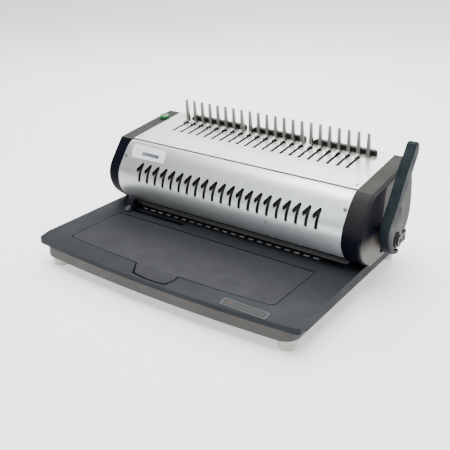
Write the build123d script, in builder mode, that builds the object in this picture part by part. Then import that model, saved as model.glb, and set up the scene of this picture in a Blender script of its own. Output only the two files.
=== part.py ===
"""Manual comb binding machine: one pull of the lever punches the sheets and opens the plastic comb.

Millimetres, +X to the machine's right, +Y to its back, +Z up.  The origin is the middle of the
whole machine's box, on the surface that its feet stand on.  Every piece is drawn from a datum on
the base's centre line; mid_x and mid_y place that datum, because the lever stands out on the right.
"""
from build123d import *
from math import asin, cos, pi, radians, sin, tan
import os

os.makedirs("parts", exist_ok=True)

# ---------------------------------------------------------------- driving dimensions
mid_x = -12.35  # the datum, seen from the middle of the whole machine's box
mid_y = 5.5

comb_pitch = 14.2875  # 9/16 inch between the rings of a plastic comb
hole_count = 21
prong_count = hole_count + 1
first_prong_x = -147.32
hook_offset = 3.5  # from each prong to the hook on its right
punch_offset = 2.475
cutout_offset = 7.5

foot_height = 16.0
pan_rim_top = 31.0
base_top = 42.0
base_half_width = 203.5
base_rear = 152.0
base_front_corner = -156.0
base_front_middle = -165.5
shell_wall = 3.0
bevel_start = -139.0  # the base's top falls gently in front of this line

cover_left = -179.3  # the metal covers reach from one end cap to the other
cover_right = 181.2
cap_left = -200.3
cap_right = 207.0
sheet = 1.2

top_slope = 6.67  # degrees, down towards the front
slope_y = 101.83  # where the slope plane's own origin lies on the top cover
slope_z = 149.09
slot_width = 4.2

plate_left = (-176.0, -173.0)  # the two side plates
plate_right = (177.5, 180.5)

shaft_y = 58.0
shaft_z = 68.0
shaft_radius = 6.0

punch_y = 14.0
punch_stroke = 11.0
hole_width = 8.0
hole_depth = 3.0
punch_fit = 0.05  # between a punch pin and its hole, each side

punch_module = 1.25
punch_teeth = 14
opener_module = 2.0
opener_teeth = 20
pressure_angle = radians(20)
backlash = 0.16  # taken off each flank

prong_xs = [first_prong_x + comb_pitch * i for i in range(prong_count)]
hook_xs = [x + hook_offset for x in prong_xs[:hole_count]]
punch_xs = [x + punch_offset for x in prong_xs[:hole_count]]
cutout_xs = [x + cutout_offset for x in prong_xs[:hole_count]]


# ---------------------------------------------------------------- planes and small helpers
def spot(x, y, z):
    """A point given from the datum."""
    return (mid_x + x, mid_y + y, z)


def level_at(z):
    """A horizontal plane; sketch x and y are the datum's."""
    return Plane(origin=spot(0, 0, z))


def side_at(x):
    """An upright plane seen from the right; sketch x is depth and sketch y is height."""
    return Plane(origin=spot(x, 0, 0), x_dir=(0, 1, 0), z_dir=(1, 0, 0))


def front_at(y):
    """An upright plane seen from the front; sketch x is sideways and sketch y is height."""
    return Plane(origin=spot(0, y, 0), x_dir=(1, 0, 0), z_dir=(0, -1, 0))


def slope_at(height):
    """A plane parallel to the sloping top cover, this far above its outer face."""
    lean = radians(top_slope)
    normal = (0, -sin(lean), cos(lean))
    return Plane(origin=spot(0, slope_y, slope_z), x_dir=(1, 0, 0), z_dir=normal).offset(height)


def slope_side_at(x):
    """The slope plane's side view: sketch x runs up the slope, sketch y away from the cover."""
    lean = radians(top_slope)
    return Plane(origin=spot(x, slope_y, slope_z), x_dir=(0, cos(lean), sin(lean)), z_dir=(1, 0, 0))


def top_z(y):
    """Height of the sloping top at this depth."""
    return slope_z + (y - slope_y) * tan(radians(top_slope))


def block(xs, ys, zs, mode=Mode.ADD):
    """A box between two x, two y and two z values."""
    middle = spot(sum(xs) / 2, sum(ys) / 2, sum(zs) / 2)
    with Locations(middle):
        Box(xs[1] - xs[0], ys[1] - ys[0], zs[1] - zs[0], mode=mode)


def sheet_outline(points, inset, thickness):
    """Closed strip that follows a spline: starts inset from it and is this thick."""
    guide = Spline(*points, mode=Mode.PRIVATE)
    steps = [i / 16 for i in range(17)]

    def shifted(distance):
        moved = []
        for step in steps:
            along = guide % step
            place = guide @ step
            moved.append((place.X - along.Y * distance, place.Y + along.X * distance))
        return moved

    outer = Spline(*shifted(inset))
    inner = Spline(*shifted(inset + thickness))
    Line(outer @ 0, inner @ 0)
    Line(outer @ 1, inner @ 1)


def pinion_points(module, teeth, first_angle):
    """Outline of a stub-tooth involute pinion with one tooth centred on first_angle."""
    pitch_radius = module * teeth / 2
    base_radius = pitch_radius * cos(pressure_angle)
    tip_radius = pitch_radius + 0.8 * module
    root_radius = pitch_radius - module
    half_tooth = pi / (2 * teeth) - backlash / pitch_radius + tan(pressure_angle) - pressure_angle
    flank = []
    for i in range(6):
        radius = base_radius + (tip_radius - base_radius) * i / 5
        roll = pi / 2 - asin(base_radius / radius)
        flank.append((radius, half_tooth - tan(roll) + roll))
    points = []
    for tooth in range(teeth):
        middle = first_angle + 2 * pi * tooth / teeth
        rising = [(root_radius, -half_tooth)] + [(radius, -half) for radius, half in flank]
        falling = [(radius, half) for radius, half in reversed(flank)] + [(root_radius, half_tooth)]
        for radius, turn in rising + falling:
            points.append((radius * cos(middle + turn), radius * sin(middle + turn)))
    return points


def rack_points(module, first_space, last_space, back):
    """Outline of a rack: pitch line on sketch y = 0, teeth downwards, back edge at y = back."""
    pitch = pi * module
    lean = tan(pressure_angle)
    tip = 0.8 * module
    half_space = pitch / 4 + backlash
    points = []
    for space in range(first_space, last_space + 1):
        middle = space * pitch
        mouth = half_space + tip * lean
        floor = half_space - module * lean
        points += [(middle - mouth, -tip), (middle - floor, module)]
        points += [(middle + floor, module), (middle + mouth, -tip)]
    left = first_space * pitch - pitch / 2
    right = last_space * pitch + pitch / 2
    return [(left, back), (left, -tip)] + points + [(right, -tip), (right, back)]


# ---------------------------------------------------------------- base
def base_outline(inset):
    """Plan of the base: straight sides, a bowed front edge."""
    side = base_half_width - inset
    corner = base_front_corner + inset
    left = Line((-side, corner), (-side, base_rear - inset))
    rear = Line(left @ 1, (side, base_rear - inset))
    right = Line(rear @ 1, (side, corner))
    ThreePointArc(right @ 1, (0, base_front_middle + inset), left @ 0)


with BuildSketch(side_at(-base_half_width - 1)) as bevel_wedge:
    # what the gentle bevel takes off the front of the base and of the lid
    with BuildLine():
        Polyline((bevel_start, base_top), (-175, 35.2), (-175, 50), (bevel_start, 50), close=True)
    make_face()


lid_left = -165.3
lid_right = 157.2
lid_corner_y = -133.0
lid_middle_y = -140.7
lid_gap = 1.0
lid_thickness = 3.0
lid_axis_y = -36.5
lid_axis_z = 39.5
lid_barrel = 2.5
lid_pin_radius = 1.2
lid_pin_length = 14.0
tab_left = -39.0
tab_right = 25.0
tab_front = -160.5

guide_slot_x = (-168, -62)
guide_slot_y = (-19.5, -11.5)


def lid_outline(grow):
    """Plan of the hatch lid in front of its hinge, grown by this much on its sides and front."""
    left = Line((lid_left - grow, lid_axis_y), (lid_left - grow, lid_corner_y - grow))
    bow = ThreePointArc(left @ 1, (-4, lid_middle_y - grow), (lid_right + grow, lid_corner_y - grow))
    right = Line(bow @ 1, (lid_right + grow, lid_axis_y))
    Line(right @ 1, left @ 0)


def tab_outline(grow):
    """Plan of the finger tab in the middle of the lid's front edge."""
    left = tab_left - grow
    right = tab_right + grow
    front = tab_front - grow
    entry = Polyline((left, lid_corner_y), (left, -143), (left + 9, front + 3))
    nose = ThreePointArc(entry @ 1, (-4, front), (right - 6, front + 2))
    Polyline(nose @ 1, (right, -148), (right, lid_corner_y), entry @ 0)


foot_spots = [spot(x, y, 0) for x in (-179, 181) for y in (-140, 132)]

with BuildPart() as base_shell:
    with BuildSketch(level_at(27.5)):
        with BuildLine():
            base_outline(0)
        make_face()
    extrude(amount=base_top - 27.5)
    fillet(base_shell.edges().filter_by(Axis.Z), radius=5)
    block((-210, 210), (-170, -138), (20, pan_rim_top), mode=Mode.SUBTRACT)
    extrude(bevel_wedge.sketch, amount=2 * base_half_width + 2, mode=Mode.SUBTRACT)
    block((-200.5, 200.5), (-137, 149), (20, base_top - shell_wall), mode=Mode.SUBTRACT)
    with BuildSketch(level_at(20)):
        with BuildLine():
            base_outline(shell_wall)
        make_face()
    extrude(amount=13.5, mode=Mode.SUBTRACT)
    # the lid's opening, the tab's notch and the room for the lid's rounded rear edge
    with BuildSketch(level_at(30)) as hatch:
        with BuildLine():
            lid_outline(lid_gap)
        make_face()
        fillet(hatch.vertices().group_by(Axis.Y)[0], radius=8)
    extrude(amount=20, mode=Mode.SUBTRACT)
    with BuildSketch(level_at(30)):
        with BuildLine():
            tab_outline(2.0)
        make_face()
    extrude(amount=20, mode=Mode.SUBTRACT)
    hatch_span = (lid_left - lid_gap, lid_right + lid_gap)
    block(hatch_span, (lid_axis_y - 1, lid_axis_y + lid_barrel + 0.6), (30, 50), mode=Mode.SUBTRACT)
    # ears that hold the lid's two hinge pins
    block((lid_left - 9, lid_left - lid_gap), (-41, -32), (35.5, base_top))
    block((lid_right + lid_gap, lid_right + 9), (-41, -32), (35.5, base_top))
    with Locations(Location(spot(lid_left - 6, lid_axis_y, lid_axis_z), (0, 90, 0))):
        Cylinder(lid_pin_radius + 0.05, 12, mode=Mode.SUBTRACT)
    with Locations(Location(spot(lid_right + 6, lid_axis_y, lid_axis_z), (0, 90, 0))):
        Cylinder(lid_pin_radius + 0.05, 12, mode=Mode.SUBTRACT)
    # the throat's opening and the edge guide's slot
    block((-177, 181.5), (-8, 34), (30, 50), mode=Mode.SUBTRACT)
    block(guide_slot_x, guide_slot_y, (30, 50), mode=Mode.SUBTRACT)
    # bosses for the four screws that also hold the feet
    for x, y, _ in foot_spots:
        with Locations((x, y, 18.5 + 10.5)):
            Cylinder(5.5, 21)
            Cylinder(1.5, 21.2, mode=Mode.SUBTRACT)
base_shell.part.label = "base_shell"
export_step(base_shell.part, "parts/base_shell.step")

pan_floor = 18.5
with BuildPart() as base_pan:
    with BuildSketch(level_at(foot_height)) as pan_plan:
        with BuildLine():
            base_outline(0.6)
        make_face()
        with Locations((0, -20)):
            Rectangle(392, 337, mode=Mode.INTERSECT)
        fillet(pan_plan.vertices(), radius=20)
    extrude(amount=pan_rim_top - foot_height)
    with BuildSketch(level_at(pan_floor)):
        offset(pan_plan.sketch_local, amount=-2.5)
    extrude(amount=20, mode=Mode.SUBTRACT)
    for x, y, _ in foot_spots:
        with Locations((x, y, foot_height)):
            Cylinder(1.7, 10, mode=Mode.SUBTRACT)
base_pan.part.label = "base_pan"
export_step(base_pan.part, "parts/base_pan.step")

with BuildPart() as feet:
    with Locations(*foot_spots):
        Cone(11.0, 12.5, foot_height, align=(Align.CENTER, Align.CENTER, Align.MIN))
    fillet(feet.edges().group_by(Axis.Z)[0], radius=1.5)
    with Locations(*foot_spots):
        Cylinder(1.7, 40, mode=Mode.SUBTRACT)
        Cylinder(4.2, 17, mode=Mode.SUBTRACT)
feet.part.label = "feet"
export_step(feet.part, "parts/feet.step")

with BuildPart() as foot_screws:
    for x, y, _ in foot_spots:
        with Locations((x, y, 6)):
            Cylinder(3.5, 2.5, align=(Align.CENTER, Align.CENTER, Align.MIN))
            Cylinder(1.45, 26, align=(Align.CENTER, Align.CENTER, Align.MIN))
            Box(0.9, 5, 1.6, mode=Mode.SUBTRACT)
foot_screws.part.label = "foot_screws"
export_step(foot_screws.part, "parts/foot_screws.step")

with BuildPart() as chip_bin:
    block((-150, 150), (-127, 28), (pan_floor, 34))
    fillet(chip_bin.edges().filter_by(Axis.Z), radius=6)
    block((-148.4, 148.4), (-125.4, 26.4), (pan_floor + 1.6, 40), mode=Mode.SUBTRACT)
chip_bin.part.label = "chip_bin"
export_step(chip_bin.part, "parts/chip_bin.step")

with BuildPart() as hatch_lid:
    with BuildSketch(level_at(base_top - lid_thickness)) as lid_plan:
        with BuildLine():
            lid_outline(0)
        make_face()
        fillet(lid_plan.vertices().group_by(Axis.Y)[0], radius=8)
    extrude(amount=lid_thickness)
    with BuildSketch(level_at(34.6)):
        with BuildLine():
            tab_outline(0)
        make_face()
    extrude(amount=base_top - 34.6)
    block((tab_left - 1, tab_right + 1), (-141, -130), (30, base_top - lid_thickness), mode=Mode.SUBTRACT)
    extrude(bevel_wedge.sketch, amount=2 * base_half_width + 2, mode=Mode.SUBTRACT)
    lid_middle_x = (lid_left + lid_right) / 2
    with Locations(Location(spot(lid_middle_x, lid_axis_y, lid_axis_z), (0, 90, 0))):
        Cylinder(lid_barrel, lid_right - lid_left)
    for end in (lid_left, lid_right):
        with Locations(Location(spot(end, lid_axis_y, lid_axis_z), (0, 90, 0))):
            Cylinder(lid_pin_radius, lid_pin_length, mode=Mode.SUBTRACT)
hatch_lid.part.label = "hatch_lid"
export_step(hatch_lid.part, "parts/hatch_lid.step")

with BuildPart() as lid_hinge_pins:
    for end in (lid_left, lid_right):
        with Locations(Location(spot(end, lid_axis_y, lid_axis_z), (0, 90, 0))):
            Cylinder(lid_pin_radius, lid_pin_length)
lid_hinge_pins.part.label = "lid_hinge_pins"
export_step(lid_hinge_pins.part, "parts/lid_hinge_pins.step")

bevel_angle = 10.7
with BuildPart() as label_plate:
    bevel_plane = Plane(origin=spot(131, -153.5, 39.27), x_dir=(1, 0, 0),
                        z_dir=(0, -sin(radians(bevel_angle)), cos(radians(bevel_angle))))
    with BuildSketch(bevel_plane) as plate_plan:
        Rectangle(62, 12)
        fillet(plate_plan.vertices(), radius=2)
    extrude(amount=0.6)
label_plate.part.label = "label_plate"
export_step(label_plate.part, "parts/label_plate.step")

# ---------------------------------------------------------------- edge guide
guide_x = (-165.0, -153.0)
with BuildPart() as edge_guide:
    with BuildSketch(side_at(guide_x[0])) as guide_side:
        with BuildLine():
            Polyline((-20, 42.4), (-20, 54), (-16, 60), (-11.5, 60), (-3, 49), (2, 47), (2, 42.4), close=True)
        make_face()
    extrude(amount=guide_x[1] - guide_x[0])
    fillet(edge_guide.edges().filter_by(Axis.X).group_by(Axis.Z)[-1], radius=1.2)
    block((-161, -157), (guide_slot_y[0] + 0.4, guide_slot_y[1] - 0.4), (38.7, 42.4))
    block((-164, -154), (-22.5, -8.6), (36.2, 38.7))
edge_guide.part.label = "edge_guide"
export_step(edge_guide.part, "parts/edge_guide.step")

with BuildPart() as guide_grip:
    with BuildSketch(side_at(-161.5)):
        with BuildLine():
            Polyline((-20, 42.6), (-27.5, 42.6), (-28, 45), (-24, 48), (-20, 50), close=True)
        make_face()
    extrude(amount=6)
    fillet(guide_grip.edges().filter_by(Axis.X).group_by(Axis.Y)[0], radius=1)
guide_grip.part.label = "guide_grip"
export_step(guide_grip.part, "parts/guide_grip.step")

# ---------------------------------------------------------------- throat and punch
guide_seat = 41.2  # the die plate's front is this high, and the throat guide lies on it
with BuildPart() as die_plate:
    with BuildSketch(side_at(plate_left[0])):
        with BuildLine():
            Polyline((-6, 37), (-6, guide_seat), (7, guide_seat), (7, base_top), (33, base_top), (33, 37),
                     close=True)
        make_face()
    extrude(amount=plate_right[1] - plate_left[0])
    with BuildSketch(level_at(30)):
        with Locations(*[(x, punch_y) for x in punch_xs]):
            Rectangle(hole_width, hole_depth)
    extrude(amount=20, mode=Mode.SUBTRACT)
die_plate.part.label = "die_plate"
export_step(die_plate.part, "parts/die_plate.step")

with BuildPart() as throat_guide:
    block((-176.4, 181), (-7.5, 7), (guide_seat, base_top))
    with BuildSketch(level_at(30)):
        with Locations(*[(x, 0) for x in punch_xs]):
            Rectangle(8.8, 4.6)
    extrude(amount=20, mode=Mode.SUBTRACT)
throat_guide.part.label = "throat_guide"
export_step(throat_guide.part, "parts/throat_guide.step")

with BuildPart() as throat_stop:
    block((-170, 174), (27, 33), (base_top, 47))
throat_stop.part.label = "throat_stop"
export_step(throat_stop.part, "parts/throat_stop.step")

with BuildPart() as punch_guide:
    block((-170, 174), (8.5, 33), (47, 51))
    with BuildSketch(level_at(40)):
        with Locations(*[(x, punch_y) for x in punch_xs]):
            Rectangle(hole_width, hole_depth)
    extrude(amount=20, mode=Mode.SUBTRACT)
    chamfer(punch_guide.edges().filter_by(Axis.X).sort_by(Axis.Y)[0:1], length=0.8)
punch_guide.part.label = "punch_guide"
export_step(punch_guide.part, "parts/punch_guide.step")

bar_bottom = 84.0
bar_top = 104.0
with BuildPart() as punch_bar:
    block((-175.6, 180.1), (8, 20), (bar_bottom, bar_top))
    chamfer(punch_bar.edges().filter_by(Axis.X), length=0.8)
punch_bar.part.label = "punch_bar"
export_step(punch_bar.part, "parts/punch_bar.step")

pin_tip = 47.5
with BuildPart() as punch_pins:
    with BuildSketch(level_at(pin_tip)):
        with Locations(*[(x, punch_y) for x in punch_xs]):
            Rectangle(hole_width - 2 * punch_fit, hole_depth - 2 * punch_fit)
    extrude(amount=bar_bottom - pin_tip)
punch_pins.part.label = "punch_pins"
export_step(punch_pins.part, "parts/punch_pins.step")

punch_rack_y = shaft_y - punch_module * punch_teeth / 2
punch_rack_spans = ((-172, -162), (166, 176))
with BuildPart() as punch_racks:
    for left, right in punch_rack_spans:
        rack_plane = Plane(origin=spot(left, punch_rack_y, shaft_z), x_dir=(0, 0, 1), z_dir=(1, 0, 0))
        with BuildSketch(rack_plane):
            with BuildLine():
                Polyline(*rack_points(punch_module, -1, 4, 6.0), close=True)
            make_face()
        extrude(amount=right - left)
        block((left, right), (20, punch_rack_y - punch_module), (84.5, 100))
punch_racks.part.label = "punch_racks"
export_step(punch_racks.part, "parts/punch_racks.step")


def coil(radius, wire, turns, height):
    """A plain compression spring standing on the origin."""
    with BuildPart() as spring:
        with BuildLine() as line:
            Helix(pitch=(height - wire) / turns, height=height - wire, radius=radius)
        with BuildSketch(Plane(origin=line.edge() @ 0, z_dir=line.edge() % 0)):
            Circle(wire / 2)
        sweep()
    return spring.part.moved(Location((0, 0, wire / 2)))


spring_foot = 51.0
return_coil = coil(3.4, 1.0, 9, bar_bottom - spring_foot)
with BuildPart() as return_springs:
    with Locations(spot(-155.5, punch_y, spring_foot), spot(157.5, punch_y, spring_foot)):
        add(return_coil)
return_springs.part.label = "return_springs"
export_step(return_springs.part, "parts/return_springs.step")

# ---------------------------------------------------------------- frame that carries the mechanism
frame_outline = [(22, base_top), (22, 56), (5, 66), (-6, 76), (-9, 86), (-6, 100), (4, 122), (14, 134),
                 (24, 137), (128, 149), (136, 118), (143, 90), (144, 74), (138, 56), (130, base_top)]
rod_spots = [(30, 120), (125, 110), (110, 60)]


def side_plate(span, name):
    """One steel side plate between two x values."""
    with BuildPart() as plate:
        with BuildSketch(side_at(span[0])):
            with BuildLine():
                Polyline(*frame_outline, close=True)
            make_face()
            with Locations((shaft_y, shaft_z)):
                Circle(9.0, mode=Mode.SUBTRACT)
            with Locations((punch_y, 88.5)):
                Rectangle(12.6, 33.5, mode=Mode.SUBTRACT)
            with Locations((90, 90)):
                Rectangle(40, 36, mode=Mode.SUBTRACT)
            with Locations(*rod_spots):
                Circle(4.0, mode=Mode.SUBTRACT)
        extrude(amount=span[1] - span[0])
    plate.part.label = name
    export_step(plate.part, f"parts/{name}.step")


side_plate(plate_left, "left_side_plate")
side_plate(plate_right, "right_side_plate")

frame_middle = (plate_left[0] + plate_right[1]) / 2
frame_width = plate_right[1] - plate_left[0]
with BuildPart() as tie_rods:
    for y, z in rod_spots:
        with Locations(Location(spot(frame_middle, y, z), (0, 90, 0))):
            Cylinder(4.0, frame_width)
tie_rods.part.label = "tie_rods"
export_step(tie_rods.part, "parts/tie_rods.step")

with BuildPart() as shaft_bushes:
    for left, right in (plate_left, plate_right):
        with Locations(Location(spot((left + right) / 2, shaft_y, shaft_z), (0, 90, 0))):
            Cylinder(9.0, right - left)
            Cylinder(shaft_radius + 0.05, right - left + 1, mode=Mode.SUBTRACT)
shaft_bushes.part.label = "shaft_bushes"
export_step(shaft_bushes.part, "parts/shaft_bushes.step")

shaft_right = 226.2
with BuildPart() as main_shaft:
    with Locations(Location(spot((plate_left[0] + shaft_right) / 2, shaft_y, shaft_z), (0, 90, 0))):
        Cylinder(shaft_radius, shaft_right - plate_left[0])
    chamfer(main_shaft.edges(), length=0.6)
main_shaft.part.label = "main_shaft"
export_step(main_shaft.part, "parts/main_shaft.step")


def pinion_pair(spans, module, teeth, first_angle, name):
    """Two equal pinions on the main shaft."""
    with BuildPart() as pair:
        for left, right in spans:
            axis_plane = Plane(origin=spot(left, shaft_y, shaft_z), x_dir=(0, 1, 0), z_dir=(1, 0, 0))
            with BuildSketch(axis_plane):
                with BuildLine():
                    Polyline(*pinion_points(module, teeth, first_angle), close=True)
                make_face()
                Circle(shaft_radius, mode=Mode.SUBTRACT)
            extrude(amount=right - left)
    pair.part.label = name
    export_step(pair.part, f"parts/{name}.step")


opener_spans = ((-158, -150), (154, 162))
pinion_pair([(-171, -163), (167, 175)], punch_module, punch_teeth, pi, "punch_pinions")
pinion_pair(opener_spans, opener_module, opener_teeth, pi / 2 + radians(top_slope), "opener_pinions")

# ---------------------------------------------------------------- comb opener, in the slope's own axes
opener_radius = opener_module * opener_teeth / 2
lean = radians(top_slope)
mesh_y = shaft_y - opener_radius * sin(lean) - slope_y
mesh_z = shaft_z + opener_radius * cos(lean) - slope_z
mesh_along = mesh_y * cos(lean) + mesh_z * sin(lean)
mesh_up = mesh_z * cos(lean) - mesh_y * sin(lean)
carriage_bottom = -14.0

with BuildPart() as opener_racks:
    for left, right in opener_spans:
        with BuildSketch(slope_side_at(left)):
            with BuildLine():
                outline = rack_points(opener_module, -1, 5, 9.0)
                Polyline(*[(mesh_along + x, mesh_up + y) for x, y in outline], close=True)
            make_face()
            with BuildLine():
                Polyline((-24, mesh_up + 2.5), (-20, -40), (-12, carriage_bottom), (-2, carriage_bottom),
                         (-6, mesh_up + 6), (-10, mesh_up + 2.5), close=True)
            make_face()
        extrude(amount=right - left)
opener_racks.part.label = "opener_racks"
export_step(opener_racks.part, "parts/opener_racks.step")

with BuildPart() as hook_bar:
    with BuildSketch(slope_side_at(-171)):
        with BuildLine():
            Polyline((-12, carriage_bottom), (-12, -9), (3, -9), (3, carriage_bottom), close=True)
        make_face()
    extrude(amount=346)
hook_bar.part.label = "hook_bar"
export_step(hook_bar.part, "parts/hook_bar.step")

hook_thickness = 2.4
with BuildPart() as hooks:
    for x in hook_xs:
        with BuildSketch(slope_side_at(x - hook_thickness / 2)):
            with BuildLine():
                stem = Polyline((2.9, 1.5), (2.9, -9), (0.8, -9), (0.8, 1.5))
                hollow = ThreePointArc(stem @ 1, (-1.8, 4.0), (-4.4, 0.5))
                point = Line(hollow @ 1, (-6.4, 0.5))
                ThreePointArc(point @ 1, (-1.6, 6.2), stem @ 0)
            make_face()
        extrude(amount=hook_thickness)
hooks.part.label = "hooks"
export_step(hooks.part, "parts/hooks.step")

with BuildPart() as slide_rails:
    for left, right in ((plate_left[1], -163), (167, plate_right[0])):
        with BuildSketch(slope_side_at(left)):
            with BuildLine():
                Polyline((-42, -17.5), (-42, -14.3), (4, -14.3), (4, -17.5), close=True)
            make_face()
        extrude(amount=right - left)
slide_rails.part.label = "slide_rails"
export_step(slide_rails.part, "parts/slide_rails.step")

# ---------------------------------------------------------------- prongs and comb rests
prong_v = 10.0  # how far up the slope the prongs stand
prong_foot = -5.0
prong_tip = 33.3
prong_width, prong_depth = 5.6, 4.6  # at the foot
prong_taper = 1.7
prong_gap = 0.35  # round each prong where it comes through the cover
with BuildPart() as prong_bar:
    with BuildSketch(slope_side_at(plate_left[1])):
        with BuildLine():
            Polyline((5, -9), (5, prong_foot), (15, prong_foot), (15, -9), close=True)
        make_face()
    extrude(amount=plate_right[0] - plate_left[1])
prong_bar.part.label = "prong_bar"
export_step(prong_bar.part, "parts/prong_bar.step")

with BuildPart() as prongs:
    with BuildSketch(slope_at(prong_foot)):
        with Locations(*[(x, prong_v) for x in prong_xs]):
            Rectangle(prong_width, prong_depth)
    extrude(amount=prong_tip - prong_foot, taper=prong_taper)
    fillet(prongs.edges().group_by(Axis.Z)[-1].filter_by(Axis.Z, reverse=True), radius=0.5)
prongs.part.label = "prongs"
export_step(prongs.part, "parts/prongs.step")

rest_height = 7.5
rest_front = 14.0
rest_back = 20.0
for name, first, last, extra, ramp in (("left", 0, 7, 2, 5), ("middle", 8, 14, 2, 8), ("right", 15, 21, 9, 9)):
    with BuildPart() as comb_rest:
        left = prong_xs[first] + (3 if first == 0 else -4)
        right = prong_xs[last] + extra
        end_plane = Plane(origin=slope_at(0).origin, x_dir=(1, 0, 0), z_dir=slope_at(0).y_dir)
        with BuildSketch(end_plane.offset(rest_front)):
            with BuildLine():
                # sketch y points down into the cover, so heights are negative
                Polyline((left, 0), (left, -1.5), (left + ramp, -rest_height), (right - 3, -rest_height),
                         (right, 1.5 - rest_height), (right, 0), close=True)
            make_face()
        extrude(amount=rest_back - rest_front)
    comb_rest.part.label = f"comb_rest_{name}"
    export_step(comb_rest.part, f"parts/comb_rest_{name}.step")

# ---------------------------------------------------------------- covers
cover_line = [(17.7, 138.6), (11, 135.5), (3, 128), (-7.6, 114), (-14.6, 104), (-17.4, 93), (-17.4, 84),
              (-15.2, 75), (-10.5, 66), (-5, 58), (0, 53.5), (6, 50.8)]
rear_line = [(133.8, 150.9), (139, 140), (146, 118), (150, 96), (151, 76), (148, 62), (142, 51),
             (136, base_top)]


def screw_plane(x, y, z, angle):
    """Plane on a cover, its normal turned back by angle from straight up."""
    return Plane(origin=spot(x, y, z), x_dir=(1, 0, 0), z_dir=(0, -sin(radians(angle)), cos(radians(angle))))


front_screws = [screw_plane(x, -3.4, 120.0, 54) for x in (-174.5, 177.3)]
top_screws = [screw_plane(x, 31.6, top_z(31.6), top_slope) for x in (-174.5, 175.0)]
screw_radius = 1.3

bar_half = 2.3
bar_low = 90.2
bar_high = 116.0
mark_x = cutout_xs[15] - 1.5
with BuildPart() as front_cover:
    with BuildSketch(side_at(cover_left)):
        with BuildLine():
            sheet_outline(cover_line, 0, sheet)
        make_face()
    extrude(amount=cover_right - cover_left)
    with BuildSketch(front_at(10)):
        for x in cutout_xs:
            with BuildLine():
                Polyline((x - 0.9, bar_low), (x + 0.9, bar_low), (x + bar_half, bar_low + 1.4),
                         (x + bar_half, bar_high - 1.6), (x + 0.6, bar_high), (x - 1.2, bar_high - 0.2),
                         (x - 4.8, bar_high - 4.4), (x - 8.0, bar_high - 8.6), (x - 7.6, bar_high - 11.4),
                         (x - 5.6, bar_high - 13.4), (x - 4.2, bar_high - 12.8), (x - bar_half, bar_high - 10),
                         (x - bar_half, bar_low + 1.4), close=True)
            make_face()
        with Locations((mark_x, 82)):
            Rectangle(1.1, 6)
    extrude(amount=60, mode=Mode.SUBTRACT)
    for place in front_screws:
        with BuildSketch(place.offset(-3)):
            Circle(screw_radius)
        extrude(amount=6, mode=Mode.SUBTRACT)
front_cover.part.label = "front_cover"
export_step(front_cover.part, "parts/front_cover.step")

with BuildPart() as front_liner:
    with BuildSketch(side_at(plate_left[1])):
        with BuildLine():
            sheet_outline(cover_line[2:9], 3.5, 1.5)
        make_face()
    extrude(amount=plate_right[0] - plate_left[1])
front_liner.part.label = "front_liner"
export_step(front_liner.part, "parts/front_liner.step")

top_front = -81.7
top_rear = 31.2
slot_front = -31.8  # middle of the round front end of each hook slot
slot_rear = 0.4  # and of its wider rear end
with BuildPart() as top_cover:
    with BuildSketch(slope_at(-sheet)):
        with BuildLine():
            Polyline((cover_left, top_front), (cover_left, top_rear), (cover_right, top_rear),
                     (cover_right, top_front), close=True)
        make_face()
        with Locations(*[(x, (slot_front + slot_rear) / 2) for x in hook_xs]):
            Rectangle(slot_width, slot_rear - slot_front, mode=Mode.SUBTRACT)
        with Locations(*[(x, slot_front) for x in hook_xs]):
            Circle(2.7, mode=Mode.SUBTRACT)
        with Locations(*[(x, slot_rear) for x in hook_xs]):
            SlotOverall(8.0, 7.0, rotation=90, mode=Mode.SUBTRACT)
        with Locations(*[(x, prong_v) for x in prong_xs]):
            Rectangle(prong_width + 2 * prong_gap, prong_depth + 2 * prong_gap, mode=Mode.SUBTRACT)
    extrude(amount=sheet)
    for place in top_screws:
        with BuildSketch(place.offset(-3)):
            Circle(screw_radius)
        extrude(amount=6, mode=Mode.SUBTRACT)
top_cover.part.label = "top_cover"
export_step(top_cover.part, "parts/top_cover.step")

with BuildPart() as rear_cover:
    with BuildSketch(side_at(cover_left)):
        with BuildLine():
            sheet_outline(rear_line, 0, -sheet)
        make_face()
    extrude(amount=cover_right - cover_left)
rear_cover.part.label = "rear_cover"
export_step(rear_cover.part, "parts/rear_cover.step")

cap_rear = [(132.5, 152.6), (141, 140), (148.5, 118), (153, 96), (154.5, 74), (151.5, 60), (145.5, 50),
            (139, base_top)]
left_cap_front = [(20, base_top), (9.5, 51), (-1, 60), (-9, 71), (-13.3, 82), (-14, 93), (-11.5, 102),
                  (-3, 115), (7, 128), (16, 139.1)]
right_cap_front = [(18, base_top), (6, 48.5), (-4.5, 57), (-12, 67), (-17, 78), (-18, 88), (-15.2, 98.5),
                   (-7.6, 114.5), (2.5, 128.5), (11, 136.6), (16, 139.1)]


def cap_outline(front_points):
    """Closed side view of an end cap."""
    front = Spline(*front_points)
    top = Line(front @ 1, (132.5, top_z(132.5)))
    rear = Spline(top @ 1, *cap_rear[1:])
    Line(rear @ 1, front @ 0)


cap_wall = 2.5


def cap_corners(front_points, inset, bottom):
    """Closed side view of an end cap, drawn in from its outline by this much and cut off at bottom."""
    corners = []
    for curve in (Spline(*front_points, mode=Mode.PRIVATE), Spline(*cap_rear, mode=Mode.PRIVATE)):
        for step in range(19):
            along = curve % (step / 18)
            place = curve @ (step / 18)
            y = place.X + along.Y * inset
            corners.append((y, min(place.Y - along.X * inset, top_z(y) - inset)))
    corners[0] = (corners[0][0], bottom)
    corners[-1] = (corners[-1][0], bottom)
    Polyline(*corners, close=True)


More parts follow.
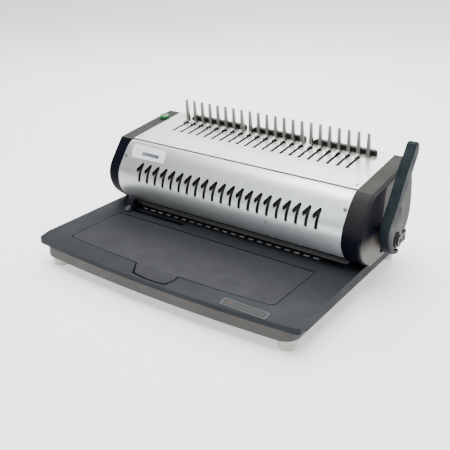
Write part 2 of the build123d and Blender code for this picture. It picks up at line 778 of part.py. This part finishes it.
button_x = -188.6
button_v = 2.2
with BuildPart() as left_end_cap:
    with BuildSketch(side_at(cap_left)):
        with BuildLine():
            cap_outline(left_cap_front)
        make_face()
    extrude(amount=cover_left - cap_left)
    with BuildSketch(side_at(cap_left + cap_wall)):
        with BuildLine():
            cap_corners(left_cap_front, cap_wall, base_top - 1)
        make_face()
    extrude(amount=40, mode=Mode.SUBTRACT)
    with BuildSketch(slope_at(-10)):
        with Locations((button_x, button_v)):
            Circle(8.6)
    extrude(amount=20, mode=Mode.SUBTRACT)
left_end_cap.part.label = "left_end_cap"
export_step(left_end_cap.part, "parts/left_end_cap.step")

recess_x = 201.7
rim_x = 202.5  # the outer rim is bevelled from here to cap_right
rim_bevel = 2.5
with BuildPart() as right_end_cap:
    with BuildSketch(side_at(cover_right)):
        with BuildLine():
            cap_corners(right_cap_front, 0, base_top)
        make_face()
    extrude(amount=rim_x - cover_right)
    with BuildSketch(side_at(rim_x)):
        with BuildLine():
            cap_corners(right_cap_front, 0, base_top)
        make_face()
    with BuildSketch(side_at(cap_right)):
        with BuildLine():
            cap_corners(right_cap_front, rim_bevel, base_top)
        make_face()
    loft(ruled=True)
    with BuildSketch(side_at(cover_right - 1)):
        with BuildLine():
            cap_corners(right_cap_front, cap_wall, base_top - 1)
        make_face()
    extrude(amount=recess_x - cap_wall - cover_right + 1, mode=Mode.SUBTRACT)
    with BuildSketch(side_at(recess_x)):
        with BuildLine():
            # open at the back, where the panel reaches the cap's own outline
            Polyline((52, 139.6), (47.5, 134), (46.5, 118), (44, 90), (43, 72), (43.5, 57), (50, 48),
                     (62, 45.5), (165, 45.5), (165, 150), (134, 149.2), close=True)
        make_face()
    extrude(amount=20, mode=Mode.SUBTRACT)
    with Locations(Location(spot(200, shaft_y, shaft_z), (0, 90, 0))):
        Cylinder(9.0, 20, mode=Mode.SUBTRACT)
right_end_cap.part.label = "right_end_cap"
export_step(right_end_cap.part, "parts/right_end_cap.step")

with BuildPart() as right_cap_panel:
    with BuildSketch(side_at(recess_x)) as panel:
        with BuildLine():
            Polyline((53, 138.4), (48.7, 133), (47.5, 118), (45, 90), (44.2, 72), (44.7, 58), (51, 49.5),
                     (63, 47), (141.5, 47), (149.8, 60), (153, 74), (151.5, 96), (147, 118), (139.8, 139),
                     (133, 147.8), close=True)
        make_face()
        fillet(panel.vertices(), radius=1.5)
        with Locations((shaft_y, shaft_z)):
            Circle(9.0, mode=Mode.SUBTRACT)
    extrude(amount=2)
right_cap_panel.part.label = "right_cap_panel"
export_step(right_cap_panel.part, "parts/right_cap_panel.step")


with BuildPart() as cover_screws:
    for place in front_screws + top_screws:
        with BuildSketch(place.offset(-sheet)):
            Circle(screw_radius)
        extrude(amount=sheet)
        with BuildSketch(place) as head:
            Circle(2.4)
            Rectangle(3.4, 0.7, mode=Mode.SUBTRACT)
            Rectangle(0.7, 3.4, mode=Mode.SUBTRACT)
        extrude(amount=0.9)
cover_screws.part.label = "cover_screws"
export_step(cover_screws.part, "parts/cover_screws.step")

with BuildPart() as badge_plate:
    with BuildSketch(side_at(-168)):
        with BuildLine():
            sheet_outline(cover_line[:5], -0.4, 0.38)
        make_face()
    extrude(amount=62)
    with BuildSketch(front_at(40)):
        with BuildLine():
            Polyline((-171.5, 135.5), (-110.4, 134.5), (-103.3, 120.8), (-163.9, 119.7), close=True)
        make_face()
    extrude(amount=80, mode=Mode.INTERSECT)
badge_plate.part.label = "badge_plate"
export_step(badge_plate.part, "parts/badge_plate.step")

# ---------------------------------------------------------------- green release button
with BuildPart() as button_cup:
    with BuildSketch(slope_at(-12)):
        with Locations((button_x, button_v)):
            Circle(8.4)
    extrude(amount=12)
    with BuildSketch(slope_at(0)):
        with Locations((button_x, button_v)):
            Circle(9.2)
    extrude(amount=0.7)
    with BuildSketch(slope_at(-10.5)):
        with Locations((button_x, button_v)):
            Circle(7.9)
    extrude(amount=20, mode=Mode.SUBTRACT)
button_cup.part.label = "button_cup"
export_step(button_cup.part, "parts/button_cup.step")

with BuildPart() as release_button:
    with BuildSketch(slope_at(-5)):
        with Locations((button_x, button_v)):
            Circle(7.5)
    extrude(amount=10.5)
    fillet(release_button.edges().sort_by(Axis.Z)[-1], radius=3.2)
release_button.part.label = "release_button"
export_step(release_button.part, "parts/release_button.step")

button_coil = coil(4.5, 0.7, 4, 5.5)
with BuildPart() as button_spring:
    add(slope_at(-10.5).location * Pos(button_x, button_v, 0) * button_coil)
button_spring.part.label = "button_spring"
export_step(button_spring.part, "parts/button_spring.step")

# ---------------------------------------------------------------- lever
lever_inner = 213.0
lever_outer = 226.3
arm_inner = lever_inner + 3.2
arm_outer = arm_inner + 7.0
# where the grip meets the arm
arm_edge = [(63, 127), (50, 113), (39, 98), (34, 84), (37, 70), (48, 58.5), (63, 54.5)]
with BuildPart() as lever_grip:
    with BuildSketch(side_at(lever_inner)) as grip_side:
        with BuildLine():
            front = Spline((62.5, 48.5), (50, 51), (37, 57.5), (27, 68.5), (22, 80), (21, 92), (25.5, 103),
                           (33, 113.5), (44, 130.5), (55, 149), (67, 168), (76, 178.5), (82.5, 188.5))
            tip = ThreePointArc(front @ 1, (91, 189.5), (96.2, 179))
            back = Spline(tip @ 1, (94, 171), (86.6, 160), (74.5, 142), arm_edge[0])
            inner = Spline(*arm_edge)
            Line(inner @ 1, front @ 0)
        make_face()
    extrude(amount=lever_outer - lever_inner)
lever_grip.part.label = "lever_grip"
export_step(lever_grip.part, "parts/lever_grip.step")

with BuildPart() as lever_arm:
    with BuildSketch(side_at(arm_inner)):
        with BuildLine():
            inner = Spline(*arm_edge)
            Polyline(inner @ 1, (71, 58), (76, 68), (74, 84), (64, 112), inner @ 0)
        make_face()
        with Locations((shaft_y, shaft_z)):
            Circle(shaft_radius, mode=Mode.SUBTRACT)
    extrude(amount=arm_outer - arm_inner)
lever_arm.part.label = "lever_arm"
export_step(lever_arm.part, "parts/lever_arm.step")

with BuildPart() as hub_spacer:
    spacer_step = lever_inner - 0.3
    for radius, left, right in ((14.0, cap_right + 0.4, spacer_step), (11.0, spacer_step, arm_inner)):
        with Locations(Location(spot((left + right) / 2, shaft_y, shaft_z), (0, 90, 0))):
            Cylinder(radius, right - left)
            Cylinder(shaft_radius, right - left, mode=Mode.SUBTRACT)
hub_spacer.part.label = "hub_spacer"
export_step(hub_spacer.part, "parts/hub_spacer.step")

with BuildPart() as hub_ring:
    with Locations(Location(spot((arm_outer + shaft_right) / 2, shaft_y, shaft_z), (0, 90, 0))):
        Cylinder(10.5, shaft_right - arm_outer)
        Cylinder(shaft_radius, 4, mode=Mode.SUBTRACT)
    chamfer(hub_ring.edges().group_by(Axis.X)[-1], length=0.8)
hub_ring.part.label = "hub_ring"
export_step(hub_ring.part, "parts/hub_ring.step")

with BuildPart() as lever_bolt:
    with Locations(Location(spot(shaft_right + 1, shaft_y, shaft_z), (0, 90, 0))):
        Cylinder(7.5, 2.0)
    with Locations(Location(spot(shaft_right + 1.8, shaft_y, shaft_z), (0, 90, 0))):
        Cylinder(2.6, 2.0, mode=Mode.SUBTRACT)
lever_bolt.part.label = "lever_bolt"
export_step(lever_bolt.part, "parts/lever_bolt.step")
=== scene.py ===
"""Looks of the comb binding machine: materials, soft edges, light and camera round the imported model."""
from math import cos, pi, radians, sin

import bpy
from mathutils import Matrix, Vector


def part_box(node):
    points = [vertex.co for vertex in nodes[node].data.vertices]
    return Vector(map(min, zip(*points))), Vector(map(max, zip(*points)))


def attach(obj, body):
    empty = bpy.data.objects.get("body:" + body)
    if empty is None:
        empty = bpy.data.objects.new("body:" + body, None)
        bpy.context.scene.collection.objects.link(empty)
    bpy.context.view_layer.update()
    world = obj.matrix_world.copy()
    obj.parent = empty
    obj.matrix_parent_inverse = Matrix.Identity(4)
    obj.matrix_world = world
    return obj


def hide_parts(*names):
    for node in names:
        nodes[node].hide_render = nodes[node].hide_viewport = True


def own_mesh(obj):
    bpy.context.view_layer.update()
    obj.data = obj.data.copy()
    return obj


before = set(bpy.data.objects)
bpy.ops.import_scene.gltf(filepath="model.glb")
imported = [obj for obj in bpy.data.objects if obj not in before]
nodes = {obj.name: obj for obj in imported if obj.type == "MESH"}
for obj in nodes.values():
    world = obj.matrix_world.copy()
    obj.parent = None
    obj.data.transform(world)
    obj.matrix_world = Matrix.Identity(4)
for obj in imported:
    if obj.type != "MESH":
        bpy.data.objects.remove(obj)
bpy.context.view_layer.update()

# ---------------------------------------------------------------- camera
camera_place = Vector((0.49675, -0.7375, 0.462))
camera_yaw = radians(34.502)
camera_pitch = radians(24.474)
camera_roll = radians(-0.199)
camera_lens = 57.32  # millimetres, on a sensor 36 wide
sensor_width = 36


def make_camera():
    """A camera at the viewing angle of a product shot from the front right."""
    level = cos(camera_pitch)
    forward = Vector((-sin(camera_yaw) * level, cos(camera_yaw) * level, -sin(camera_pitch)))
    right = Vector((cos(camera_yaw), sin(camera_yaw), 0))
    down = forward.cross(right)
    rolled_right = right * cos(camera_roll) + down * sin(camera_roll)
    rolled_down = down * cos(camera_roll) - right * sin(camera_roll)
    turn = Matrix((rolled_right, -rolled_down, -forward)).transposed()
    data = bpy.data.cameras.new("camera")
    data.lens = camera_lens
    data.sensor_width = sensor_width
    data.clip_start = 0.01
    camera = bpy.data.objects.new("camera", data)
    camera.matrix_world = Matrix.Translation(camera_place) @ turn.to_4x4()
    bpy.context.scene.collection.objects.link(camera)
    bpy.context.scene.camera = camera


# ---------------------------------------------------------------- materials
beyond = 1.0  # further out than any part of the machine


class Recipe:
    """One procedural material, built up socket by socket."""

    def __init__(self, name, color, roughness, metallic=0.0, coat=0.0):
        self.material = bpy.data.materials.new(name)
        self.material.use_nodes = True
        self.tree = self.material.node_tree
        self.shader = self.tree.nodes["Principled BSDF"]
        self.shader.inputs["Base Color"].default_value = (*color, 1)
        self.shader.inputs["Roughness"].default_value = roughness
        self.shader.inputs["Metallic"].default_value = metallic
        self.shader.inputs["Coat Weight"].default_value = coat
        self.color = color
        self.roughness = roughness
        self.place = self.tree.nodes.new("ShaderNodeTexCoord").outputs["Object"]
        self.height = None

    def dull(self, amount):
        """How strongly the bare surface mirrors; 0.5 is an ordinary plastic."""
        self.shader.inputs["Specular IOR Level"].default_value = amount
        return self

    def node(self, kind, **settings):
        made = self.tree.nodes.new(kind)
        for key, value in settings.items():
            setattr(made, key, value)
        return made

    def link(self, start, end):
        self.tree.links.new(start, end)

    def stretched(self, stretch):
        """Object coordinates scaled differently along each axis."""
        mapping = self.node("ShaderNodeMapping")
        mapping.inputs["Scale"].default_value = stretch
        self.link(self.place, mapping.inputs["Vector"])
        return mapping.outputs["Vector"]

    def noise(self, scale, detail=3.0, stretch=(1, 1, 1)):
        texture = self.node("ShaderNodeTexNoise")
        texture.inputs["Scale"].default_value = scale
        texture.inputs["Detail"].default_value = detail
        self.link(self.stretched(stretch), texture.inputs["Vector"])
        return texture.outputs["Fac"]

    def spread(self, value, low, high, start=0.3, end=0.7):
        """value mapped from start..end onto low..high."""
        ranged = self.node("ShaderNodeMapRange")
        ranged.inputs["From Min"].default_value = start
        ranged.inputs["From Max"].default_value = end
        ranged.inputs["To Min"].default_value = low
        ranged.inputs["To Max"].default_value = high
        self.link(value, ranged.inputs["Value"])
        return ranged.outputs["Result"]

    def lay_over(self, factor, other):
        """Another colour over everything so far, by factor."""
        mix = self.node("ShaderNodeMix", data_type="RGBA")
        mix.inputs["A"].default_value = (*self.color, 1)
        mix.inputs["B"].default_value = (*other, 1)
        source = self.shader.inputs["Base Color"]
        if source.is_linked:
            self.link(source.links[0].from_socket, mix.inputs["A"])
        self.link(factor, mix.inputs["Factor"])
        self.link(mix.outputs["Result"], source)

    def tint(self, value, other, amount):
        """Mixes another colour in where value, such as a noise, is high."""
        self.lay_over(self.spread(value, 0.0, amount), other)

    def sheen_change(self, value, swing):
        """Roughness that wanders by swing."""
        wandering = self.spread(value, self.roughness - swing, self.roughness + swing)
        self.link(wandering, self.shader.inputs["Roughness"])

    def bump(self, value, distance):
        made = self.node("ShaderNodeBump")
        made.inputs["Distance"].default_value = distance
        self.link(value, made.inputs["Height"])
        if self.height is not None:
            self.link(self.height, made.inputs["Normal"])
        self.height = made.outputs["Normal"]
        self.link(self.height, self.shader.inputs["Normal"])

    def within(self, axis, start, end, soft=0.0004):
        """1 where the piece's own axis coordinate lies between start and end, 0 outside."""
        parts = self.node("ShaderNodeSeparateXYZ")
        self.link(self.place, parts.inputs["Vector"])
        rising = self.spread(parts.outputs[axis], 0.0, 1.0, start - soft, start + soft)
        falling = self.spread(parts.outputs[axis], 1.0, 0.0, end - soft, end + soft)
        return self.product(rising, falling)

    def product(self, first, second):
        both = self.node("ShaderNodeMath", operation="MULTIPLY")
        self.link(first, both.inputs[0])
        self.link(second, both.inputs[1])
        return both.outputs["Value"]

    def facing_up(self, start, end=1.0):
        """1 on faces that look up, from the upward share of the surface's own direction."""
        parts = self.node("ShaderNodeSeparateXYZ")
        self.link(self.node("ShaderNodeTexCoord").outputs["Normal"], parts.inputs["Vector"])
        return self.spread(parts.outputs["Z"], 0.0, 1.0, start, end)

    def paint(self, mask, other, amount=1.0):
        """Another colour laid over everything so far where the mask is 1."""
        self.lay_over(self.spread(mask, 0.0, amount, 0.0, 1.0), other)

    def ribs(self, axis, pitch, distance):
        """Fine parallel ribs across an axis; the wave texture repeats every 2 pi / (20 scale)."""
        wave = self.node("ShaderNodeTexWave", wave_type="BANDS", bands_direction=axis)
        wave.inputs["Scale"].default_value = 2 * pi / (20 * pitch)
        self.link(self.place, wave.inputs["Vector"])
        self.bump(wave.outputs["Fac"], distance)

    def edge_wear(self, other, amount):
        """A lighter colour on sharp outer edges, from the mesh's own pointiness."""
        flat, sharp = 0.52, 0.62  # pointiness of a flat face is 0.5
        pointed = self.node("ShaderNodeNewGeometry").outputs["Pointiness"]
        ranged = self.spread(pointed, 0.0, 1.0, flat, sharp)
        self.tint(self.product(ranged, self.noise(160)), other, amount)


def moulded(name, color, light, grain=900, roughness=0.5, depth=0.00006, gloss=0.32):
    """Textured injection moulding: fine grain, faint blotches and lighter worn edges."""
    recipe = Recipe(name, color, roughness).dull(gloss)
    recipe.tint(recipe.noise(9, 2), light, 0.5)
    recipe.sheen_change(recipe.noise(40), 0.06)
    recipe.bump(recipe.noise(grain, 2), depth)
    recipe.edge_wear(light, 0.5)
    return recipe.material


def painted_sheet(name, color, shade, warm, painted_reflection):
    """Silver paint on sheet metal: fine flakes, a faint lengthwise brushing, and a painted reflection that
    makes it brighter towards the right.
    """
    recipe = Recipe(name, color, 0.36, metallic=0.6, coat=0.12)
    recipe.shader.inputs["Coat Roughness"].default_value = 0.25
    recipe.tint(recipe.noise(11, 2, (7, 0.3, 0.3)), shade, 0.45)
    recipe.tint(recipe.noise(5, 1, (1, 0.5, 0.5)), warm, 0.5)
    # painted reflection: a paler colour laid over the sheet, stronger towards the right
    painted_reflection_start = -0.02
    recipe.paint(recipe.within("X", painted_reflection_start, beyond, soft=0.12), painted_reflection, 0.9)
    recipe.sheen_change(recipe.noise(120, 2, (1, 0.4, 0.4)), 0.03)
    recipe.bump(recipe.noise(1500, 2), 0.000004)
    return recipe.material


def machined(name, color, roughness, stretch=(0.08, 1, 1)):
    """Bare or plated steel with fine drawing lines."""
    recipe = Recipe(name, color, roughness, metallic=1.0)
    recipe.tint(recipe.noise(30), tuple(0.6 * value for value in color), 0.5)
    recipe.sheen_change(recipe.noise(500, 2, stretch), 0.09)
    recipe.bump(recipe.noise(700, 2, stretch), 0.00002)
    return recipe.material


def glossy(name, color):
    """Smooth coloured plastic with a clear gloss."""
    recipe = Recipe(name, color, 0.16, coat=0.6)
    recipe.tint(recipe.noise(60), tuple(1.5 * value for value in color), 0.4)
    recipe.sheen_change(recipe.noise(90), 0.05)
    return recipe.material


def hook_plate(name):
    """Near-black hooks with a painted highlight on their crowns."""
    recipe = Recipe(name, (0.010, 0.010, 0.011), 0.4).dull(0.2)
    recipe.tint(recipe.noise(300), (0.025, 0.025, 0.026), 0.6)
    # painted highlight: a near-white colour on the top few millimetres of each hook
    crown_depth = 0.0030
    crown_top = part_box("hooks")[1].z
    recipe.paint(recipe.within("Z", crown_top - crown_depth, beyond, soft=0.0005), (0.80, 0.81, 0.80))
    recipe.sheen_change(recipe.noise(300), 0.06)
    recipe.bump(recipe.noise(500, 2), 0.00002)
    return recipe.material


def milky(name):
    """Soft translucent foot."""
    recipe = Recipe(name, (0.62, 0.63, 0.585), 0.35)
    recipe.shader.inputs["Subsurface Weight"].default_value = 0.5
    recipe.shader.inputs["Subsurface Scale"].default_value = 0.006
    recipe.shader.inputs["Transmission Weight"].default_value = 0.25
    # a faint painted glow: the foot gives off a little light of its own so it looks lit through
    recipe.shader.inputs["Emission Color"].default_value = (1.0, 1.0, 0.95, 1)
    recipe.shader.inputs["Emission Strength"].default_value = 0.02
    recipe.tint(recipe.noise(50), (0.48, 0.48, 0.44), 0.5)
    recipe.bump(recipe.noise(120), 0.00008)
    return recipe.material


def cap_moulding(name, painted_top_light_start, painted_floor_reflection):
    """End cap moulding: near black, greyed by painted light where it faces up; on the flank a painted
    reflection of the floor may brighten it towards the floor.
    """
    recipe = Recipe(name, (0.0028, 0.0030, 0.0075), 0.55).dull(0.05)
    recipe.tint(recipe.noise(9, 2), (0.006, 0.0065, 0.012), 0.4)
    # painted light: a grey colour on every face that looks up
    recipe.paint(recipe.facing_up(painted_top_light_start), (0.047, 0.047, 0.043), 0.9)
    if painted_floor_reflection:
        # painted reflection of the pale floor: a lighter colour low on the outer flank
        flank_foot, flank_middle = 0.030, 0.076
        flank_depth = 0.00145  # how far in from the cap's outermost face the painted floor reflection reaches
        flank_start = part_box("right_end_cap")[1].x - flank_depth
        low = recipe.within("Z", flank_foot, flank_middle, soft=0.012)
        flank = recipe.within("X", flank_start, beyond, soft=0.0012)
        recipe.paint(recipe.product(low, flank), (0.20, 0.19, 0.175), painted_floor_reflection)
    recipe.sheen_change(recipe.noise(40), 0.05)
    recipe.bump(recipe.noise(900, 2), 0.00005)
    recipe.edge_wear((0.022, 0.022, 0.028), 0.4)
    return recipe.material


def ribbed_grip(name):
    """Dark green-black grip with fine ribs across it and a worn sheen."""
    recipe = Recipe(name, (0.010, 0.017, 0.020), 0.45).dull(0.06)
    recipe.tint(recipe.noise(60, 3), (0.022, 0.030, 0.034), 0.8)
    grip_foot = 0.082  # below this it is darker
    recipe.paint(recipe.within("Z", 0.0, grip_foot, soft=0.012), (0.0035, 0.004, 0.009), 0.9)
    recipe.sheen_change(recipe.noise(50), 0.08)
    recipe.ribs("Z", 0.0021, 0.00016)
    recipe.edge_wear((0.03, 0.04, 0.04), 0.3)
    return recipe.material


def arm_paint(name):
    """Painted steel arm: dark above, grey round the hub."""
    recipe = Recipe(name, (0.005, 0.008, 0.009), 0.5).dull(0.06)
    recipe.tint(recipe.noise(60, 3), (0.010, 0.014, 0.015), 0.6)
    hub_top = 0.092
    recipe.paint(recipe.within("Z", -beyond, hub_top, soft=0.016), (0.125, 0.130, 0.122), 0.95)
    recipe.sheen_change(recipe.noise(50), 0.06)
    recipe.bump(recipe.noise(600, 2), 0.00002)
    return recipe.material


def sticker(name):
    """White sticker with one plain dark stripe, no mark and no lettering."""
    recipe = Recipe(name, (0.74, 0.79, 0.81), 0.32, coat=0.3)
    low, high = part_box("badge_plate")
    left_margin, right_margin = 0.02035, 0.01165
    stripe_foot, stripe_top = low.z + 0.0048, low.z + 0.0088
    across = recipe.within("X", low.x + left_margin, high.x - right_margin)
    upright = recipe.within("Z", stripe_foot, stripe_top)
    recipe.paint(recipe.product(across, upright), (0.03, 0.035, 0.045))
    recipe.tint(recipe.noise(60), (0.66, 0.70, 0.71), 0.3)
    recipe.sheen_change(recipe.noise(90), 0.05)
    return recipe.material


def rating_plate(name):
    """Low-contrast plate with a thin lighter border, one plain line and a plain spot."""
    recipe = Recipe(name, (0.026, 0.030, 0.031), 0.5).dull(0.14)
    low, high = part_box("label_plate")
    side_border, end_border = 0.0018, 0.00095
    middle = recipe.product(recipe.within("X", low.x + side_border, high.x - side_border, soft=0.0002),
                            recipe.within("Y", low.y + end_border, high.y - end_border, soft=0.0002))
    recipe.tint(recipe.noise(50), (0.045, 0.048, 0.048), 0.5)
    border = recipe.node("ShaderNodeMath", operation="SUBTRACT")
    border.inputs[0].default_value = 1.0
    recipe.link(middle, border.inputs[1])
    recipe.paint(border.outputs["Value"], (0.085, 0.088, 0.086))
    line_start, line_end = low.x + 0.01885, high.x - 0.00695
    line_front, line_back = low.y + 0.0057, low.y + 0.0067
    line = recipe.product(recipe.within("X", line_start, line_end),
                          recipe.within("Y", line_front, line_back, soft=0.0003))
    recipe.paint(line, (0.075, 0.062, 0.058), 0.7)
    spot_start, spot_end = low.x + 0.00685, low.x + 0.01485
    spot_front, spot_back = low.y + 0.0040, low.y + 0.0085
    spot = recipe.product(recipe.within("X", spot_start, spot_end),
                          recipe.within("Y", spot_front, spot_back, soft=0.0003))
    recipe.paint(spot, (0.10, 0.040, 0.032), 0.6)
    recipe.sheen_change(recipe.noise(90), 0.05)
    return recipe.material


coarse_grain = 260
base_grain = 700
fine_drawn = (1, 1, 0.08)  # drawing lines that run upwards
looks = {
    "base": moulded("base_moulding", (0.0150, 0.0185, 0.0225), (0.023, 0.027, 0.030),
                    grain=base_grain, roughness=0.6, depth=0.00008, gloss=0.16),
    "lid": moulded("lid_moulding", (0.0200, 0.0215, 0.0245), (0.029, 0.030, 0.033),
                   grain=base_grain, roughness=0.62, depth=0.00008, gloss=0.16),
    "pan": moulded("pan_moulding", (0.050, 0.047, 0.043), (0.085, 0.080, 0.075), roughness=0.55),
    # each cap gets painted top light; the side cap also gets a painted floor reflection on its flank
    "cap": cap_moulding("cap_moulding", painted_top_light_start=0.75, painted_floor_reflection=0.0),
    "side_cap": cap_moulding("side_cap_moulding", painted_top_light_start=0.15, painted_floor_reflection=0.9),
    "panel": moulded("cap_panel_moulding", (0.052, 0.052, 0.046), (0.080, 0.078, 0.069), gloss=0.10),
    "black": moulded("black_moulding", (0.006, 0.006, 0.007), (0.018, 0.018, 0.020), roughness=0.42),
    "guide": moulded("guide_moulding", (0.006, 0.004, 0.014), (0.020, 0.014, 0.028), roughness=0.4),
    "guide_tip": moulded("guide_tip_moulding", (0.05, 0.05, 0.055), (0.11, 0.11, 0.12), roughness=0.4),
    "rest": moulded("rest_moulding", (0.010, 0.010, 0.009), (0.032, 0.030, 0.027),
                    grain=coarse_grain, depth=0.0002),
    "grip": ribbed_grip("grip_moulding"),
    # the last colour of each sheet is its painted reflection
    "silver": painted_sheet("silver_sheet", (0.53, 0.56, 0.56), shade=(0.46, 0.485, 0.485),
                            warm=(0.57, 0.55, 0.52), painted_reflection=(0.88, 0.95, 0.96)),
    "silver_top": painted_sheet("silver_top_sheet", (0.54, 0.575, 0.54), shade=(0.47, 0.50, 0.455),
                                warm=(0.59, 0.57, 0.51), painted_reflection=(0.55, 0.58, 0.525)),
    "steel": machined("machined_steel", (0.50, 0.51, 0.53), 0.32),
    "dark_steel": machined("blackened_steel", (0.10, 0.10, 0.105), 0.4),
    "hook_with_painted_highlight": hook_plate("hook_plate_painted_highlight"),
    "die": moulded("zinc_plate", (0.70, 0.71, 0.74), (0.86, 0.87, 0.88),
                   grain=500, roughness=0.4, depth=0.00002),
    "prong": machined("prong_steel", (0.33, 0.305, 0.29), 0.38, stretch=fine_drawn),
    "frame": machined("plated_frame", (0.05, 0.05, 0.052), 0.5),
    "arm": arm_paint("arm_paint"),
    "green": glossy("green_gloss", (0.004, 0.15, 0.035)),
    "foot": milky("milky_foot"),
    "white": sticker("blank_sticker"),
    "plate": rating_plate("blank_rating_plate"),
}

node_looks = {
    "base": ["base_shell"],
    "lid": ["hatch_lid"],
    "pan": ["base_pan"],
    "foot": ["feet"],
    "cap": ["left_end_cap"],
    "side_cap": ["right_end_cap"],
    "panel": ["right_cap_panel"],
    "black": ["chip_bin", "throat_guide", "front_liner", "button_cup", "hub_ring", "lever_bolt"],
    "guide": ["edge_guide"],
    "guide_tip": ["guide_grip"],
    "rest": ["comb_rest_left", "comb_rest_middle", "comb_rest_right"],
    "grip": ["lever_grip"],
    "silver": ["front_cover", "rear_cover"],
    "silver_top": ["top_cover"],
    "dark_steel": ["hook_bar", "opener_racks", "punch_bar", "punch_pins", "punch_guide", "throat_stop"],
    "die": ["die_plate"],
    "steel": ["foot_screws", "lid_hinge_pins", "punch_racks", "return_springs", "tie_rods", "shaft_bushes",
              "main_shaft", "punch_pinions", "opener_pinions", "prong_bar", "cover_screws", "button_spring"],
    "hook_with_painted_highlight": ["hooks"],
    "prong": ["prongs"],
    "frame": ["left_side_plate", "right_side_plate", "slide_rails"],
    "arm": ["lever_arm", "hub_spacer"],
    "green": ["release_button"],
    "white": ["badge_plate"],
    "plate": ["label_plate"],
}


# ---------------------------------------------------------------- edges
plain_edged = ["return_springs", "button_spring", "punch_pinions", "opener_pinions", "front_liner",
               "badge_plate", "throat_guide", "die_plate", "front_cover", "top_cover", "rear_cover"]
usual_edge = 0.00025
sharp_angle = radians(20)
same_point = 0.000004  # vertices closer than this are one
edge_widths = {"base_shell": 0.0006, "hatch_lid": 0.0004, "base_pan": 0.0012, "left_end_cap": 0.0012,
               "right_end_cap": 0.0007, "right_cap_panel": 0.0005, "lever_arm": 0.0008,
               "edge_guide": 0.0005, "guide_grip": 0.0005, "hub_ring": 0.0005,
               "comb_rest_left": 0.0006, "comb_rest_middle": 0.0006, "comb_rest_right": 0.0006}


def soften_edges(piece, width):
    """Small rounded edges that catch the light; broad faces keep their own direction."""
    for polygon in piece.data.polygons:
        polygon.use_smooth = True
    weld = piece.modifiers.new("weld", "WELD")
    weld.merge_threshold = same_point
    bevel = piece.modifiers.new("bevel", "BEVEL")
    bevel.width = width
    bevel.segments = 2
    bevel.limit_method = "ANGLE"
    bevel.angle_limit = sharp_angle
    bevel.use_clamp_overlap = True
    weighted = piece.modifiers.new("weighted", "WEIGHTED_NORMAL")
    weighted.weight = 90
    weighted.keep_sharp = False


for look, names in node_looks.items():
    for name in names:
        for slot in nodes[name].material_slots:
            slot.material = looks[look]
        if name not in plain_edged:
            soften_edges(nodes[name], edge_widths.get(name, usual_edge))


# ---------------------------------------------------------------- pieces that replace CAD nodes
def stand_in(node, name, look, body):
    """A copy of a CAD node that replaces it, so that its mesh may change."""
    piece = bpy.data.objects.new(name, nodes[node].data.copy())
    bpy.context.scene.collection.objects.link(piece)
    piece.data.materials.clear()
    piece.data.materials.append(looks[look])
    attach(piece, body)
    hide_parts(node)
    return piece


def make_spring(node, name):
    """A stand-in copy of the coil springs with a mesh of its own."""
    spring = stand_in(node, name, "steel", "machine")
    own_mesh(spring)


grip_voxel = 0.0011


def make_grip():
    """The lever's moulded grip with soft rounded edges and a round tip, in place of the sharp-edged node."""
    grip = stand_in("lever_grip", "rounded_lever_grip", "grip", "lever")
    remesh = grip.modifiers.new("remesh", "REMESH")
    remesh.mode = "VOXEL"
    remesh.voxel_size = grip_voxel
    remesh.use_smooth_shade = True
    smooth = grip.modifiers.new("smooth", "SMOOTH")
    smooth.factor = 0.5
    smooth.iterations = 14


make_grip()
make_spring("return_springs", "punch_return_springs")
make_spring("button_spring", "button_return_spring")
make_camera()


# ---------------------------------------------------------------- stage and light
floor_size = 40


def make_stage():
    """A plain pale floor."""
    bpy.ops.mesh.primitive_plane_add(size=floor_size, location=(0, 0, 0))
    floor = bpy.context.object
    floor.name = "floor"
    recipe = Recipe("floor_paper", (0.96, 0.96, 0.96), 0.7)
    recipe.shader.inputs["Emission Color"].default_value = (1.0, 1.0, 1.0, 1)
    recipe.shader.inputs["Emission Strength"].default_value = 0.8
    recipe.tint(recipe.noise(2), (0.94, 0.94, 0.94), 0.4)
    floor.data.materials.append(recipe.material)


def area_light(name, place, target, size, power):
    """A white rectangular light at place that faces target."""
    data = bpy.data.lights.new(name, "AREA")
    data.shape = "RECTANGLE"
    data.size, data.size_y = size
    data.energy = power
    light = bpy.data.objects.new(name, data)
    light.location = place
    light.rotation_euler = (Vector(target) - Vector(place)).to_track_quat("-Z", "Y").to_euler()
    bpy.context.scene.collection.objects.link(light)


def make_light():
    """Soft studio: a broad softbox overhead, a strip behind that glances off the sloping top, a weak
    fill from the right and a wash on the floor far behind."""
    world = bpy.data.worlds.new("studio")
    world.use_nodes = True
    background = world.node_tree.nodes["Background"]
    background.inputs["Color"].default_value = (0.97, 0.985, 1.0, 1)
    background.inputs["Strength"].default_value = 0.30
    bpy.context.scene.world = world
    area_light("overhead", place=(0.0, -0.15, 1.7), target=(0, 0.05, 0.1), size=(1.7, 1.3), power=60)
    area_light("strip_behind", place=(-0.75, 1.10, 1.12), target=(0, 0.05, 0.12), size=(1.5, 0.55), power=20)
    area_light("fill_right", place=(1.5, -0.25, 0.7), target=(0.1, 0, 0.08), size=(0.9, 0.9), power=1.5)
    area_light("floor_wash", place=(-0.4, 2.2, 2.2), target=(-0.6, 1.6, 0), size=(3.0, 2.0), power=60)


make_stage()
make_light()
